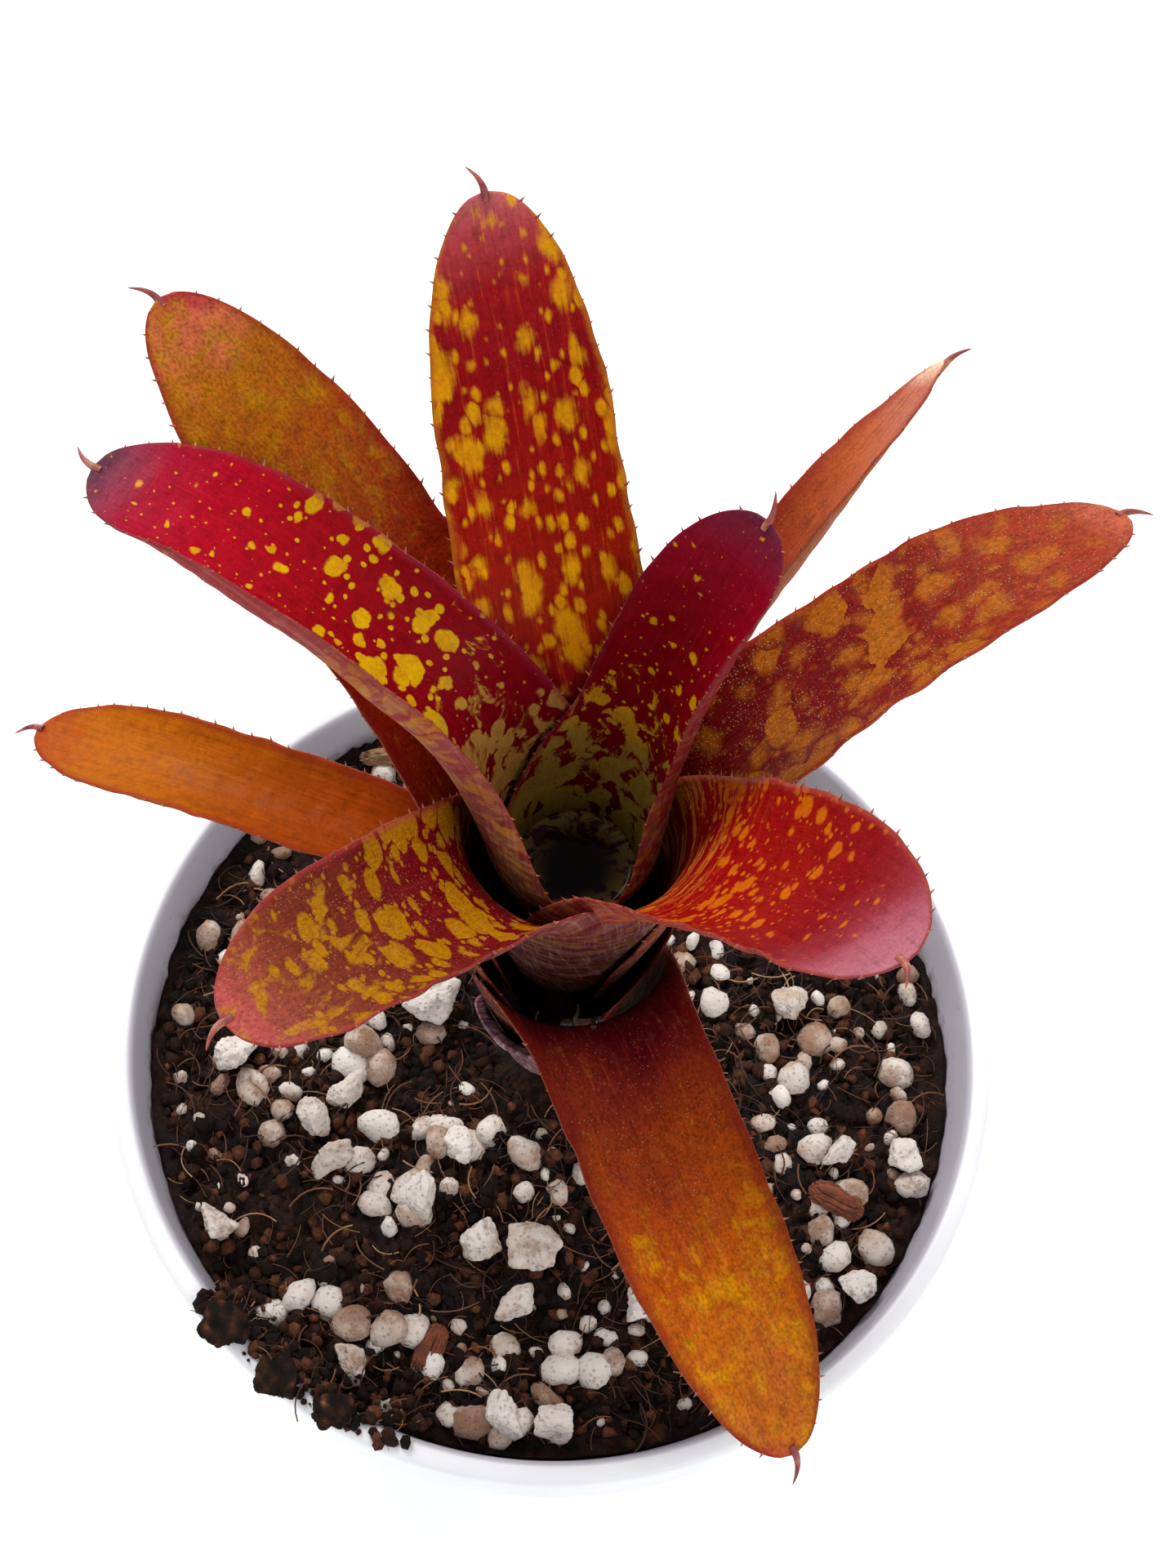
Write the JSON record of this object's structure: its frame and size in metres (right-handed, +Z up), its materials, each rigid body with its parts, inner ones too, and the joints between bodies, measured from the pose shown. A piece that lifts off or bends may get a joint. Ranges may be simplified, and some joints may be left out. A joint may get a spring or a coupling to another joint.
{
  "type": "potted bromeliad",
  "caption": "Young spotted bromeliad with a water cup of strap leaves and spined margins, standing in peat and perlite in a small round white nursery pot.",
  "frame": {"origin": "centre of the pot's flat base, on the surface it stands on", "axes": "+Z up along the pot's axis and the plant's stem, -Y towards the viewer of the picture, +X to that viewer's right"},
  "size_m": [0.1143, 0.1079, 0.1871],
  "materials": {
    "pot_plastic": "smooth white moulded plastic, satin",
    "potting_soil": "moist dark brown peat with fine fibres, rough",
    "stem": "dull fibrous stem",
    "leaf_01": "waxy leaf, satin: maroon at its foot, red then golden amber at the tip, with rows of white scurf",
    "leaf_02": "waxy leaf, satin: amber orange with red-brown margins",
    "leaf_03": "waxy leaf, satin: orange-brown, folded narrow, torn pale tip",
    "leaf_04": "waxy leaf, satin: olive amber with an orange-red patch and white scurf",
    "leaf_05": "waxy leaf, satin: maroon with round olive blotches and fine white stippling",
    "leaf_06": "waxy leaf, satin: red with long yellow ovals, olive and pink towards the tip",
    "leaf_07": "waxy leaf, satin: red with orange-yellow bars at its foot and spots, lilac sheen at the tip",
    "leaf_08": "waxy leaf, satin: deep crimson with golden blotches and a mauve tip",
    "leaf_09": "waxy leaf, satin: magenta crimson with rounded yellow spots",
    "leaf_10": "waxy leaf, satin: deep magenta with irregular yellow patches",
    "dried_sheath": "papery dried sheath, lavender grey and maroon, streaked",
    "tank_water": "still dark water, mirror smooth",
    "perlite": "porous off-white grains, some stained brown",
    "wood_chip": "rough weathered wood and bark"
  },
  "bodies": {
    "root": {"pot": "pot_plastic", "soil": "potting_soil", "stem": "stem", "leaf_01": "leaf_01", "leaf_02": "leaf_02", "leaf_03": "leaf_03", "leaf_04": "leaf_04", "leaf_05": "leaf_05", "leaf_06": "leaf_06", "leaf_07": "leaf_07", "leaf_08": "leaf_08", "leaf_09": "leaf_09", "leaf_10": "leaf_10", "dried_sheath": "dried_sheath", "tank_water": "tank_water", "perlite_01": "perlite", "perlite_02": "perlite", "perlite_03": "perlite", "perlite_04": "perlite", "perlite_05": "perlite", "perlite_06": "perlite", "perlite_07": "perlite", "perlite_08": "perlite", "perlite_09": "perlite", "perlite_10": "perlite", "perlite_11": "perlite", "perlite_12": "perlite", "perlite_13": "perlite", "perlite_14": "perlite", "perlite_15": "perlite", "perlite_16": "perlite", "perlite_17": "perlite", "perlite_18": "perlite", "perlite_19": "perlite", "perlite_20": "perlite", "soil_clod_01": "potting_soil", "soil_clod_02": "potting_soil", "soil_clod_03": "potting_soil", "wood_stick": "wood_chip", "bark_chip_01": "wood_chip", "bark_chip_02": "wood_chip"}
  },
  "joints": []
}
